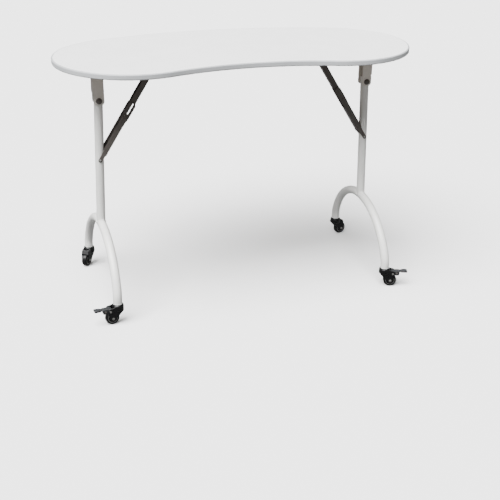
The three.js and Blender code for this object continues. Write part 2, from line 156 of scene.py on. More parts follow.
def arc(x, y, r, start, end, steps):
    """Points on an arc, from start to end in degrees."""
    angles = [radians(start + (end - start) * i / steps) for i in range(steps + 1)]
    return [(x + r * cos(a), y + r * sin(a)) for a in angles]


def rounded(points, steps=6):
    """An outline whose corners given as (x, y, radius) become arcs."""
    out = []
    for i, point in enumerate(points):
        corner = Vector(point[:2])
        if len(point) == 2:
            out.append(tuple(corner))
            continue
        before = (Vector(points[i - 1][:2]) - corner).normalized()
        after = (Vector(points[(i + 1) % len(points)][:2]) - corner).normalized()
        half = before.angle(after) / 2
        centre = corner + (before + after).normalized() * point[2] / sin(half)
        start = corner + before * point[2] / tan(half) - centre
        end = corner + after * point[2] / tan(half) - centre
        sweep = pi - 2 * half
        for k in range(steps + 1):
            t = k / steps
            out.append(tuple(centre + (start * sin((1 - t) * sweep) + end * sin(t * sweep)) / sin(sweep)))
    return out


def anticlockwise(outline):
    area = sum(a[0] * b[1] - b[0] * a[1] for a, b in zip(outline, outline[1:] + outline[:1]))
    return outline if area > 0 else outline[::-1]


def inset(outline, amount):
    """An anticlockwise outline moved inwards."""
    moved = []
    for i, here in enumerate(outline):
        back = (Vector(here) - Vector(outline[i - 1])).normalized()
        ahead = (Vector(outline[(i + 1) % len(outline)]) - Vector(here)).normalized()
        first, second = Vector((-back.y, back.x)), Vector((-ahead.y, ahead.x))
        middle = (first + second).normalized()
        reach = amount / max(middle.dot(first), 0.6)
        moved.append((here[0] + middle.x * reach, here[1] + middle.y * reach))
    return moved


ALONG = {
    "x": lambda u, v, w: (w, u, v),
    "y": lambda u, v, w: (u, w, v),
    "z": lambda u, v, w: (u, v, w),
}


def plate(outline, low, high, edge=0.4, along="y", steps=2):
    """A sheet cut to an outline, from low to high along an axis, with rounded edges."""
    outline = anticlockwise(outline)
    angles = [pi / 2 * k / steps for k in range(steps + 1)]
    layers = [(low + edge * (1 - cos(a)), edge * (1 - sin(a))) for a in angles]
    layers += [(high - edge * (1 - cos(a)), edge * (1 - sin(a))) for a in reversed(angles)]
    place = ALONG[along]
    return loft([[place(u, v, w) for u, v in inset(outline, amount)] for w, amount in layers])


def block(x0, x1, y0, y1, z0, z1, edge, corner):
    """A box with rounded upright corners and rounded edges."""
    return plate(rounded([(x0, y0, corner), (x1, y0, corner), (x1, y1, corner), (x0, y1, corner)], 4),
                 z0, z1, edge, "z")


def turned(profile, sides=48):
    """A solid turned about Z from (radius, height) points that start and end on the axis, or a ring."""
    rings = []
    for r, z in profile:
        rings.append([(r * cos(2 * pi * i / sides), r * sin(2 * pi * i / sides), z) for i in range(sides)])
    on_axis = profile[0][0] < 1e-6
    return loft(rings, caps=False, loop=not on_axis)


def turned_y(profile, sides):
    """As turned, about Y: heights run towards +Y."""
    mesh = turned(profile, sides)
    mesh.transform(Matrix.Rotation(-pi / 2, 4, "X"))
    return mesh


def rod_y(r, y0, y1, x=0, z=0, sides=32):
    mesh = turned_y([(0, y0), (r, y0), (r, y1), (0, y1)], sides)
    mesh.transform(moved(x, 0, z))
    return mesh


def rod_z(r, z0, z1, x, y=0):
    mesh = turned([(0, z0), (r, z0), (r, z1), (0, z1)], 32)
    mesh.transform(moved(x, y, 0))
    return mesh


def rings_along(path, radius_at, sides):
    """Circles carried along a path without twisting."""
    path = [Vector(p) for p in path]
    last = len(path) - 1
    tangents = [(path[min(i + 1, last)] - path[max(i - 1, 0)]).normalized() for i in range(len(path))]
    across = tangents[0].orthogonal().normalized()
    rings = []
    for i, (centre, tangent) in enumerate(zip(path, tangents)):
        across = (across - tangent * across.dot(tangent)).normalized()
        other = tangent.cross(across)
        r = radius_at(i)
        rings.append([centre + (across * cos(a) + other * sin(a)) * r
                      for a in (2 * pi * k / sides for k in range(sides))])
    return rings


def hollow_tube(path, radius, wall, sides):
    """A tube with rounded end lips."""
    lip = 0.35
    outer = rings_along(path, lambda i: radius - (lip if i in (0, len(path) - 1) else 0), sides)
    inner = rings_along(path, lambda i: radius - wall, sides)
    return loft(outer + inner[::-1], loop=True)


def evaluated(mesh, modify):
    """The mesh after modifiers that modify() adds to an object holding it."""
    holder = bpy.data.objects.new("holder", mesh)
    bpy.context.scene.collection.objects.link(holder)
    modify(holder)
    bpy.context.view_layer.update()
    shaped = bpy.data.meshes.new_from_object(holder.evaluated_get(bpy.context.evaluated_depsgraph_get()))
    bpy.data.objects.remove(holder)
    return shaped


def combine(mesh, tools, operation):
    """A mesh with others joined to it (UNION) or cut from it (DIFFERENCE)."""
    for tool in tools:
        helper = bpy.data.objects.new("tool", tool)
        bpy.context.scene.collection.objects.link(helper)

        def add(holder):
            boolean = holder.modifiers.new("combine", "BOOLEAN")
            boolean.operation = operation
            boolean.solver = "EXACT"
            boolean.object = helper

        mesh = evaluated(mesh, add)
        bpy.data.objects.remove(helper)
    return mesh


def fused(first, *others):
    return combine(first, others, "UNION")


def carved(mesh, *tools):
    return combine(mesh, tools, "DIFFERENCE")


def moulded(mesh, voxel, passes):
    """A joined shape melted into one moulding with soft fillets."""
    def add(holder):
        remesh = holder.modifiers.new("melt", "REMESH")
        remesh.mode = "VOXEL"
        remesh.voxel_size = voxel
        smooth = holder.modifiers.new("soften", "SMOOTH")
        smooth.factor = 0.5
        smooth.iterations = passes
    return evaluated(mesh, add)


def flat_shaded(mesh):
    """The mesh with normals that keep its large faces flat up to their rounded edges."""
    def add(holder):
        normals = holder.modifiers.new("shade", "WEIGHTED_NORMAL")
        normals.keep_sharp = True
    return evaluated(mesh, add)


# ================================================================ materials
def new_material(name, roughness, metallic=0.0):
    material = bpy.data.materials.new(name)
    material.use_nodes = True
    shader = material.node_tree.nodes["Principled BSDF"]
    shader.inputs["Metallic"].default_value = metallic
    shader.inputs["Roughness"].default_value = roughness
    return material, shader


def rgb(code):
    """A linear colour from six hex digits."""
    channels = [int(code[i:i + 2], 16) / 255 for i in (0, 2, 4)]
    return tuple(c / 12.92 if c <= 0.04045 else ((c + 0.055) / 1.055) ** 2.4 for c in channels) + (1,)


def noise(material, scale, detail):
    """A noise pattern fixed to the object, with scale in lumps per metre."""
    nodes, links = material.node_tree.nodes, material.node_tree.links
    coords = nodes.new("ShaderNodeTexCoord")
    texture = nodes.new("ShaderNodeTexNoise")
    texture.inputs["Scale"].default_value = scale
    texture.inputs["Detail"].default_value = detail
    links.new(coords.outputs["Object"], texture.inputs["Vector"])
    return texture.outputs["Fac"]


def ramp(material, source, stops):
    """Colours or greys spread over a pattern: stops are (place, colour)."""
    node = material.node_tree.nodes.new("ShaderNodeValToRGB")
    elements = node.color_ramp.elements
    while len(elements) < len(stops):
        elements.new(0.5)
    for element, (place, colour) in zip(elements, stops):
        element.position = place
        element.color = (colour, colour, colour, 1) if isinstance(colour, float) else colour
    material.node_tree.links.new(source, node.inputs["Fac"])
    return node.outputs["Color"]


def add_bump(material, shader, source, depth):
    """Relief from a pattern, with its depth in metres."""
    nodes, links = material.node_tree.nodes, material.node_tree.links
    bump = nodes.new("ShaderNodeBump")
    bump.inputs["Strength"].default_value = 0.3
    bump.inputs["Distance"].default_value = depth
    links.new(source, bump.inputs["Height"])
    links.new(bump.outputs["Normal"], shader.inputs["Normal"])


def finish_material(name, dark, light, roughness, metallic=0.0, mottle=14, grain=1500, depth=0.00006,
                    roughness_spread=0.06, coat=0.0, specular=0.5):
    """A finish whose colour, gloss and relief all vary a little: mottle and grain are in lumps per metre."""
    material, shader = new_material(name, roughness, metallic)
    links = material.node_tree.links
    colours = ramp(material, noise(material, mottle, 4.0), [(0.35, rgb(dark)), (0.65, rgb(light))])
    links.new(colours, shader.inputs["Base Color"])
    gloss = ramp(material, noise(material, mottle * 5, 5.0),
                 [(0.3, roughness - roughness_spread), (0.7, roughness + roughness_spread)])
    links.new(gloss, shader.inputs["Roughness"])
    add_bump(material, shader, noise(material, grain, 2.0), depth)
    shader.inputs["Specular IOR Level"].default_value = specular
    shader.inputs["Coat Weight"].default_value = coat
    shader.inputs["Coat Roughness"].default_value = 0.12
    return material


FINISHES = {
    "white_laminate": dict(dark="f0f0f0", light="f3f3f3", roughness=0.34, grain=1400, depth=0.00002),
    "edge_trim": dict(dark="a6a8aa", light="adafb1", roughness=0.4, grain=1200, depth=0.00003),
    "white_powder_coat": dict(dark="d6d6d3", light="dcdcd9", roughness=0.36, grain=800, coat=0.15),
    "bracket_paint": dict(dark="cfcbc4", light="d7d3cc", roughness=0.42, grain=800),
    "dark_steel": dict(dark="504b48", light="5a5551", roughness=0.46, metallic=0.3, mottle=40,
                       depth=0.00004, roughness_spread=0.08),
    "zinc_steel": dict(dark="757572", light="8a8a87", roughness=0.4, metallic=0.85, mottle=120, grain=2500,
                       depth=0.00003, roughness_spread=0.08),
    "white_plastic": dict(dark="e6e6e4", light="ebebe9", roughness=0.45, depth=0.00003),
    "black_plastic": dict(dark="060607", light="0b0b0c", roughness=0.3, mottle=60, grain=1800,
                          depth=0.00003, specular=0.3),
    "wheel_plastic": dict(dark="070708", light="0d0d0e", roughness=0.36, mottle=80, grain=1600,
                          depth=0.00004, specular=0.3),
    "grey_plastic": dict(dark="1d1e20", light="28292b", roughness=0.42, mottle=80, grain=1600,
                         depth=0.00004),
    "board_core": dict(dark="b0936c", light="bd9f78", roughness=0.5, grain=1000, depth=0.00004),
}
materials = {slot: finish_material(slot, **finish) for slot, finish in FINISHES.items()}


# ================================================================ placing pieces
def show(name, mesh, place, body, slot, smooth_angle):
    """Puts a shape, drawn in millimetres, at its place and gives it its body and finish."""
    mesh = mesh.copy()
    mesh.transform(Matrix.Scale(MM, 4) @ place)
    mesh.materials.clear()
    mesh.materials.append(materials[slot])
    mesh.shade_smooth()
    mesh.set_sharp_from_angle(angle=radians(smooth_angle))
    mesh = flat_shaded(mesh)
    mesh.name = name
    piece = bpy.data.objects.new(name, mesh)
    bpy.context.scene.collection.objects.link(piece)
    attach(piece, body)
    return piece


def stand_in(node, mesh, place=Matrix.Identity(4), smooth_angle=35):
    """A finely made piece shown in place of a frame node."""
    piece = show("fine_" + node, mesh, place, body_of_node[node], slot_of_node[node], smooth_angle)
    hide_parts(node)
    return piece


def extra(name, mesh, place, like, slot=None, smooth_angle=35):
    """A small piece that the frame has no node for, carried by the same body as a node."""
    return show(name, mesh, place, body_of_node[like], slot or slot_of_node[like], smooth_angle)


# ================================================================ table top
top_low, top_high = (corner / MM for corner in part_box("edge_band"))
underside, surface = top_low.z, top_high.z
leg_y = joint_place("leg_left_fold").y
lobe_y = leg_y + LOBE_Y_FROM_LEGS
table_length = round(top_high.x - top_low.x)
table_width = round(top_high.y - top_low.y)


def top_outline(inwards):
    """Four arcs that meet smoothly: back, left end, hollowed front, right end."""
    lobe_x = table_length / 2 - LOBE_R
    back_bulge = table_width - LOBE_R
    back_r = (lobe_x ** 2 + back_bulge ** 2 - LOBE_R ** 2) / (2 * (back_bulge - LOBE_R))
    back_y = back_bulge - back_r
    waist_bulge = LOBE_R - WAIST_DEPTH
    waist_r = (lobe_x ** 2 + waist_bulge ** 2 - LOBE_R ** 2) / (2 * (LOBE_R - waist_bulge))
    waist_y = -(waist_bulge + waist_r)
    back_end = atan2(-back_y, lobe_x)
    waist_end = atan2(-waist_y, lobe_x)
    arcs = [
        (0, back_y, back_r - inwards, back_end, pi - back_end, 90),
        (-lobe_x, 0, LOBE_R - inwards, pi - back_end, 2 * pi - waist_end, 110),
        (0, waist_y, waist_r + inwards, pi - waist_end, waist_end, 70),
        (lobe_x, 0, LOBE_R - inwards, waist_end - pi, back_end, 110),
    ]
    points = []
    for x, y, r, start, end, steps in arcs:
        for i in range(steps):
            a = start + (end - start) * i / steps
            points.append((x + r * cos(a), lobe_y + y + r * sin(a)))
    return points


def slab(layers):
    """A flat body from (inset, height) layers, bottom to top."""
    return loft([[(x, y, z) for x, y in top_outline(inwards)] for inwards, z in layers])


def make_top():
    board_top = surface - LAMINATE_T
    stand_in("tabletop_board", slab([(BAND_T + 0.3, underside + 0.1), (BAND_T, underside + 0.4),
                                     (BAND_T, board_top)]))
    stand_in("tabletop_laminate", slab([(BAND_T + 0.1, board_top), (BAND_T + 0.1, surface - 0.25),
                                        (BAND_T + 0.4, surface)]), smooth_angle=60)
    thick = surface - underside
    section = rounded([(BAND_T, 0), (0, 0, 3.4), (0, thick, 3.4), (BAND_T, thick)], 7)
    rings = [[(x, y, underside + up) for x, y in top_outline(inwards)] for inwards, up in section]
    stand_in("edge_band", loft(rings, loop=True), smooth_angle=50)


# ================================================================ hardware
def pan_screw(head_r, head_h, shank_r, shank_length):
    """A pan-head screw with a cross recess, its head below z = 0."""
    face = rounded([(0, -head_h), (head_r * 0.85, -head_h, 0.6), (head_r, 0)], 6)
    head = turned([*face, (shank_r, 0), (shank_r, shank_length), (0, shank_length)], 40)
    arm, half = head_r * 0.55, 0.45
    arms = [block(-x, x, -y, y, -head_h - 1, -head_h + 1, 0.05, 0.2) for x, y in ((arm, half), (half, arm))]
    return carved(head, *arms)


def dome_profile(head_r, height):
    """(radius, height) points of a shallow dome standing below zero, from its crown to its rim."""
    rim = 0.5
    steps = 8
    points = [(head_r * sin(a), -rim - (height - rim) * cos(a)) for a in
              (pi / 2 * k / steps for k in range(steps + 1))]
    return points + [(head_r, -0.1), (head_r - 0.1, 0)]


def headed_pin(r, length, head_r, head_h, tail_r=None, sides=40):
    """A pin towards +Y from y = 0, with a domed head, and another at its end if tail_r is given."""
    profile = dome_profile(head_r, head_h) + [(r, 0), (r, length)]
    if tail_r is None:
        profile += [(0, length)]
    else:
        profile += [(radius, length - height) for radius, height in reversed(dome_profile(tail_r, head_h))]
    return turned_y(profile, sides)


def hex_nut(r, height, hole_r):
    """A nut along +Y with chamfered corners."""
    chamfer = 0.9
    hexagon = plate(arc(0, 0, r, 0, 300, 5), 0, height, 0.3)
    barrel = turned_y([(0, 0), (r * 0.9, 0), (r, chamfer), (r, height - chamfer), (r * 0.9, height),
                       (0, height)], 48)
    return carved(combine(hexagon, [barrel], "INTERSECT"), rod_y(hole_r, -1, height + 1))


# ================================================================ hinge bracket
def folded_channel(half, sheet, back, lip, low, high, bend, along):
    """A channel with two folds: its legs' outer faces are at +-half, and it opens from back towards lip."""
    skin = 0.02
    steps = 6
    way = 1 if lip > back else -1

    def fold(leg, face, r):
        """A leg's end, then the quarter turn into the face."""
        turn = [pi / 2 * k / steps for k in range(steps + 1)]
        return [(leg, lip)] + [(leg - r + r * cos(a), back + way * (face + r - r * sin(a))) for a in turn]

    outer = fold(half - skin, 0, bend)
    inner = fold(half - sheet + skin, sheet, max(bend - sheet, 0.3))
    right = outer + [(-u, v) for u, v in reversed(outer)]
    left = [(-u, v) for u, v in inner] + list(reversed(inner))
    return plate(right + left, low, high, 0.15, along, 1)


def hinge_bracket(board_up):
    """Two ears folded from an outer web, under a base plate."""
    low = board_up - EAR_DROP
    top = board_up - SHEET * 0.6
    back = -EAR_OUTWARD - SHEET
    ear = rounded([(-EAR_OUTWARD, WEB_LOW - 3, 1.2), (-EAR_OUTWARD, low, 9), (EAR_INWARD, low, 9),
                   (EAR_INWARD, top), (back + BRACKET_BEND, top), (back + BRACKET_BEND, WEB_LOW - 3, 1.2)], 8)
    far = EAR_GAP + SHEET
    channel = folded_channel(far, SHEET, back, back + BRACKET_BEND + 2, WEB_LOW, top, BRACKET_BEND, "z")
    channel.transform(Matrix(((0, 1, 0, 0), (1, 0, 0, 0), (0, 0, 1, 0), (0, 0, 0, 1))))
    channel.flip_normals()
    base = plate(rounded([(back, -PLATE_HALF, 5), (EAR_INWARD, -PLATE_HALF, 5), (EAR_INWARD, PLATE_HALF, 5),
                          (back, PLATE_HALF, 5)], 8), board_up - SHEET, board_up, 0.4, "z")
    ears = [plate(ear, -far, -EAR_GAP), plate(ear, EAR_GAP, far)]
    body = fused(base, *ears, channel)
    holes = [rod_z(2.6, board_up - 5, board_up + 1, 0, s * BRACKET_SCREW_Y) for s in (-1, 1)]
    return carved(body, rod_y(BOLT_R + 0.1, -THROUGH, THROUGH), *holes)


# ================================================================ folding brace
def link_body(outlines, flange, front, slot, web_from, web_to, hole):
    """Flanges on the sitter's side and behind, and a web along their lower edge with folded corners. The
    left links have a slot on the sitter's side."""
    near, far = flange
    lip = -LINK_HALF + LINK_BEND + 1.6
    channel = folded_channel(far, far - near, -LINK_HALF, lip, web_from, web_to, LINK_BEND, "x")
    sheets = [plate(outline, *sorted((side * near, side * far)))
              for side, outline in zip((front, -front), outlines)]
    facing = carved(sheets[0], slot_cutter(*slot)) if front < 0 else sheets[0]
    return carved(fused(facing, sheets[1], channel), hole)


def slot_cutter(x0, x1):
    ends = arc(x1 - SLOT_HALF, 0, SLOT_HALF, -90, 90, 12) + arc(x0 + SLOT_HALF, 0, SLOT_HALF, 90, 270, 12)
    return plate(ends, -THROUGH, THROUGH, 0.05)


def lower_link(tilt, front):
    """From the post rivet along +X: a narrow tongue round the post, a web, and an end that is wide on the
    sitter's side."""
    web_from, web_to = 30, ELBOW - 30
    raised = -LINK_HALF + LINK_BEND

    def from_post(z):
        return (TUBE_R + 1) / sin(tilt) + z / tan(tilt)

    start = [*arc(0, 0, TONGUE_HALF, 90, 270, 16), (from_post(-TONGUE_HALF), -TONGUE_HALF),
             (from_post(-LINK_HALF) + 8, -LINK_HALF), (web_from - 0.5, -LINK_HALF), (web_from - 0.5, raised),
             (web_to + 0.5, raised), (web_to + 0.5, -LINK_HALF)]
    plain = arc(LOWER_END - LINK_HALF, 0, LINK_HALF, -90, 90, 18)
    end_half = SPOON_HALF if front < 0 else PLAIN_END_HALF
    wide = [(ELBOW - 18, -LINK_HALF, 8), (ELBOW - 5, -end_half, 8),
            *arc(LOWER_END - end_half, 0, end_half, -80, 80, 18),
            (ELBOW - 5, end_half, 8), (ELBOW - 18, LINK_HALF, 8)]
    finish = [(from_post(LINK_HALF), LINK_HALF, 1), (from_post(TONGUE_HALF), TONGUE_HALF, 1)]
    outlines = [rounded(start + end + finish, 5) for end in (wide, plain)]
    slot = (ELBOW + 6, LOWER_END - 3)
    hole = rod_y(PIN_R, -THROUGH, THROUGH)
    return link_body(outlines, LOWER_FLANGE, front, slot, web_from, web_to, hole)


def upper_link(length, front):
    """From the elbow to the anchor pin; the flange away from the sitter is narrow by the elbow."""
    web_from, web_to = LOWER_END + 4, length - 14
    raised = -LINK_HALF + LINK_BEND
    finish = [(web_from - 0.5, raised), (web_to + 0.5, raised), (web_to + 0.5, -LINK_HALF),
              *arc(length, 0, LINK_HALF, -90, 90, 18)]
    wide = [*arc(ELBOW, 0, LINK_HALF, 90, 270, 18), (web_from - 0.5, -LINK_HALF)]
    narrow = [(LOWER_END + 4, LINK_HALF, 6), (LOWER_END - 6, TONGUE_HALF, 6),
              *arc(ELBOW, 0, TONGUE_HALF, 90, 270, 14),
              (LOWER_END - 6, -TONGUE_HALF, 6), (web_from - 0.6, -LINK_HALF + 0.1)]
    slot = (ELBOW - SLOT_HALF, LOWER_END - 2)
    outlines = [rounded(end + finish) for end in (wide, narrow)]
    hole = rod_y(PIN_R + 0.1, -THROUGH, THROUGH, length)
    return link_body(outlines, UPPER_FLANGE, front, slot, web_from, web_to, hole)


def anchor_bracket(up):
    """A base plate on the board with two ears folded down for the pin."""
    near, far = ANCHOR_EAR
    ear = [(-10, up - LINK_BEND), (-10, 1), *arc(0, 0, 8.5, 200, 340, 14), (10, 1), (10, up - LINK_BEND)]
    x, y = 26, far - LINK_BEND
    base = plate(rounded([(-x, -y, 4), (x, -y, 4), (x, y, 4), (-x, y, 4)], 8), up - ANCHOR_BASE_T, up - 0.02,
                 0.3, "z")
    channel = folded_channel(far, far - near, up, up - LINK_BEND - 1.6, -9.5, 9.5, LINK_BEND, "x")
    body = fused(base, plate(ear, near, far, 0.3), plate(ear, -far, -near, 0.3), channel)
    holes = [rod_z(2.1, up - 5, up + 1, s * ANCHOR_SCREW_X) for s in (-1, 1)]
    return carved(body, rod_y(PIN_R, -THROUGH, THROUGH), *holes)


# ================================================================ leg
def arch_path(lean, foot):
    """Centre line of the foot arch: an ellipse whose ends bend upright over the stems."""
    rise = ARCH_TOP_Z - ARCH_CENTRE_Z
    bend_angle = atan2(ARCH_BEND_Z - ARCH_CENTRE_Z, sqrt(rise ** 2 - (ARCH_BEND_Z - ARCH_CENTRE_Z) ** 2))
    foot_y = abs(foot.y)
    bend_y = ARCH_HALF_WIDTH * cos(bend_angle)
    bend_x = (ARCH_BEND_Z - ARCH_TOP_Z) * tan(lean)
    slope = ARCH_HALF_WIDTH * tan(bend_angle) / rise
    bend_length = 2 * (foot_y - bend_y) / slope
    half = []
    ellipse_steps, bend_steps = 40, 14
    for k in range(ellipse_steps):
        a = pi / 2 + (bend_angle - pi / 2) * k / ellipse_steps
        z = ARCH_CENTRE_Z + rise * sin(a)
        half.append(((z - ARCH_TOP_Z) * tan(lean), ARCH_HALF_WIDTH * cos(a), z))
    for k in range(bend_steps + 1):
        down = (ARCH_BEND_Z - ARCH_END_Z) * k / bend_steps
        bent = min(down / bend_length, 1)
        eased = bent * (2 - bent)
        half.append((bend_x + (foot.x - bend_x) * eased, bend_y + (foot_y - bend_y) * eased,
                     ARCH_BEND_Z - down))
    return [(x, -y, z) for x, y, z in reversed(half)] + half[1:]


def leg_post(length, rivet_drop, twist):
    """A straight tube whose lower rim is coped onto the arch, which stands askew by the twist."""
    angles = [2 * pi * k / 64 for k in range(64)]

    def rim(r):
        sunk = 0.4
        return [(r * cos(a), r * sin(a), sqrt(TUBE_R ** 2 - (r * cos(a - twist)) ** 2) - length - sunk)
                for a in angles]

    def level(r, z):
        return [(r * cos(a), r * sin(a), z) for a in angles]

    bore = TUBE_R - TUBE_WALL
    lip = 0.3
    above_rim = 20 - length
    rings = [rim(TUBE_R), level(TUBE_R, above_rim), level(TUBE_R, POST_TOP - lip),
             level(TUBE_R - lip, POST_TOP), level(bore + lip, POST_TOP), level(bore, POST_TOP - lip),
             level(bore, above_rim), rim(bore)]
    tube = loft(rings, loop=True)
    bolt_hole = rod_y(BOLT_R + 0.1, -THROUGH, THROUGH)
    return carved(tube, bolt_hole, rod_y(PIN_R, -THROUGH, THROUGH, 0, -rivet_drop))


def weld_bead(length, twist):
    """A weld run round the post where it meets the arch, with soft ripples."""
    steps, sides, ripples = 128, 12, 34
    ring_path = []
    for k in range(steps):
        a = 2 * pi * k / steps
        r = TUBE_R + 0.2
        height = sqrt(TUBE_R ** 2 - (TUBE_R * cos(a - twist)) ** 2)
        ring_path.append(Vector((r * cos(a), r * sin(a), height - length)))
    rings = []
    for k, centre in enumerate(ring_path):
        tangent = (ring_path[(k + 1) % steps] - ring_path[k - 1]).normalized()
        across = Vector((centre.x, centre.y, 0)).normalized()
        across = (across - tangent * across.dot(tangent)).normalized()
        other = tangent.cross(across)
        r = 1.7 + 0.18 * sin(ripples * 2 * pi * k / steps)
        rings.append([centre + (across * cos(a) + other * sin(a)) * r
                      for a in (2 * pi * i / sides for i in range(sides))])
    return loft(rings, loop=True)


def make_side(tag):
    hinge = joint_place(f"leg_{tag}_fold")
    toward_middle = 0 if tag == "left" else pi
    side = Matrix.Translation(hinge) @ Matrix.Rotation(toward_middle, 4, "Z")
    into_side = side.inverted()
    rivet = into_side @ joint_place(f"brace_lower_{tag}_turn")
    anchor = into_side @ joint_place(f"brace_upper_{tag}_turn")
    board_up = underside - hinge.z
    lean = atan2(-rivet.x, -rivet.z)
    reach = anchor - rivet
    rise_angle = atan2(reach.z, reach.x)
    leg = side @ Matrix.Rotation(lean, 4, "Y")
    brace = side @ Matrix.Translation(rivet) @ Matrix.Rotation(-rise_angle, 4, "Y")
    half_turn = Matrix.Rotation(pi, 4, "Z")
    front = -1 if tag == "left" else 1
    facing = Matrix.Identity(4) if tag == "left" else half_turn

    stand_in(f"hinge_bracket_{tag}", hinge_bracket(board_up), side)
    fixing = pan_screw(4.6, 2.6, 2.4, SHEET)
    for end, s in (("front", front), ("rear", -front)):
        place = side @ moved(0, s * BRACKET_SCREW_Y, board_up - SHEET)
        stand_in(f"bracket_screw_{end}_{tag}", fixing, place)
    ear = EAR_GAP + SHEET
    nut_h = 6.5
    bolt = headed_pin(BOLT_R, 2 * ear + nut_h + 2.5, 8.6, 6.2, sides=56)
    stand_in(f"hinge_bolt_{tag}", bolt, side @ moved(0, front * ear, 0) @ facing)
    nut_place = side @ moved(0, -front * ear, 0) @ facing
    stand_in(f"hinge_nut_{tag}", hex_nut(7.5, nut_h, BOLT_R), nut_place)

    post_length = (hinge.z - ARCH_TOP_Z) / cos(lean)
    stems = [joint_place(f"swivel_{tag}_{end}") for end in ("front", "rear")]
    twist = atan2(stems[0].x - stems[1].x, stems[1].y - stems[0].y)
    below_crown = moved((ARCH_TOP_Z - hinge.z) * tan(lean), 0, -hinge.z)
    arch = side @ below_crown @ Matrix.Rotation(twist, 4, "Z")
    arch_tube = hollow_tube(arch_path(lean, arch.inverted() @ stems[0]), TUBE_R, TUBE_WALL, 56)
    stand_in(f"foot_arch_{tag}", arch_tube, arch)
    stand_in(f"leg_post_{tag}", leg_post(post_length, rivet.length, twist), leg)
    extra(f"weld_{tag}", weld_bead(post_length, twist), leg, f"leg_post_{tag}", smooth_angle=80)

    tilt = pi / 2 + lean - rise_angle
    stand_in(f"brace_lower_{tag}", lower_link(tilt, front), brace)
    stand_in(f"brace_upper_{tag}", upper_link(reach.length, front), brace)
    through = LOWER_FLANGE[1]
    pin = headed_pin(PIN_R, 2 * through, 3.8, 2.4, 3.8)
    stand_in(f"brace_rivet_{tag}", pin, brace @ moved(0, -through, 0))
    stud_length = LOWER_FLANGE[1] - UPPER_FLANGE[1] - 0.3
    for end, s in (("front", front), ("rear", -front)):
        turn = Matrix.Identity(4) if s < 0 else half_turn
        place = brace @ moved(ELBOW, s * through, 0) @ turn
        stand_in(f"elbow_stud_{end}_{tag}", headed_pin(PIN_R, stud_length, 5, 2.5), place)

    at_anchor = side @ Matrix.Translation(anchor)
    up = board_up - anchor.z
    stand_in(f"brace_anchor_{tag}", anchor_bracket(up), at_anchor)
    far = ANCHOR_EAR[1]
    stand_in(f"anchor_pin_{tag}", headed_pin(PIN_R, 2 * far, 5, 3, 5), at_anchor @ moved(0, -far, 0))
    small = pan_screw(3.6, 1.8, 1.9, ANCHOR_BASE_T)
    for end, s in (("outer", -1), ("inner", 1)):
        place = at_anchor @ moved(s * ANCHOR_SCREW_X, 0, up - ANCHOR_BASE_T)
        stand_in(f"anchor_screw_{end}_{tag}", small, place)


# ================================================================ casters
def fork_shape(braked):
    """Swivel boss, two cheeks and a hood, moulded in one. Stem on Z, trailing along +X."""
    boss = turned(rounded([(0, BOSS_LOW), (BOSS_R, BOSS_LOW, 2.5), (BOSS_R, BOSS_TOP - 1, 4.5),
                           (13.2, BOSS_TOP, 1), (0, BOSS_TOP)], 8), 64)
    nose = [(30.5, 32, 4), (31.5, 50, 4)] if braked else [(27.5, 30, 4), (23, 51, 5)]
    cheek = rounded([(-9.5, 55, 3), (-14.5, 43, 6), *arc(TRAIL, WHEEL_R, 8, 215, 350, 14), *nose,
                     (10, 55, 3)])
    near, far = CHEEK
    bridge = block(-9.5, 10, -far + 1, far - 1, BOSS_LOW, 54, 0.5, 2)
    parts = [plate(cheek, near, far, 1.0, steps=3), plate(cheek, -far, -near, 1.0, steps=3), bridge]
    if not braked:
        hood = arc(TRAIL, WHEEL_R, WHEEL_R + HOOD_GAP, 62, 118, 12) + [(6, 52), (21, 50.5)]
        parts.append(plate(hood, -far + 1, far - 1, 0.5))
    shape = moulded(fused(boss, *parts), 0.65, 3)
    holes = [rod_y(AXLE_R + 0.1, -THROUGH, THROUGH, TRAIL, WHEEL_R)]
    if braked:
        holes.append(rod_y(LEVER_PIN_R + 0.1, -THROUGH, THROUGH, *LEVER_PIVOT))
    return carved(shape, *holes)


def wheel_shape():
    """A wheel with a rounded tread and a dished face."""
    half = WHEEL_HALF
    side = [(AXLE_R + 0.1, half - 0.3), (5.6, half - 0.3, 0.4), (6.6, half - 2.6, 0.8),
            (12.2, half - 3, 0.8), (13.6, half - 1, 0.6), (16.5, half - 0.6, 0.8), (WHEEL_R, half - 3.6, 2.6)]
    other = [(point[0], -point[1], *point[2:]) for point in reversed(side)]
    return turned_y(rounded(side + other, 5), 72)


def wheel_highlight_ring(sign):
    """A light metal ring set in the wheel's dished face: a painted highlight where light catches the dish."""
    low, high = WHEEL_HALF - 2.2, WHEEL_HALF - 0.5
    mesh = turned_y(rounded([(12.3, low), (13.9, low), (14.0, high, 0.35), (12.6, high, 0.35)], 4), 64)
    if sign < 0:
        mesh.transform(Matrix.Scale(-1, 4, (0, 1, 0)))
        mesh.flip_normals()
    return mesh


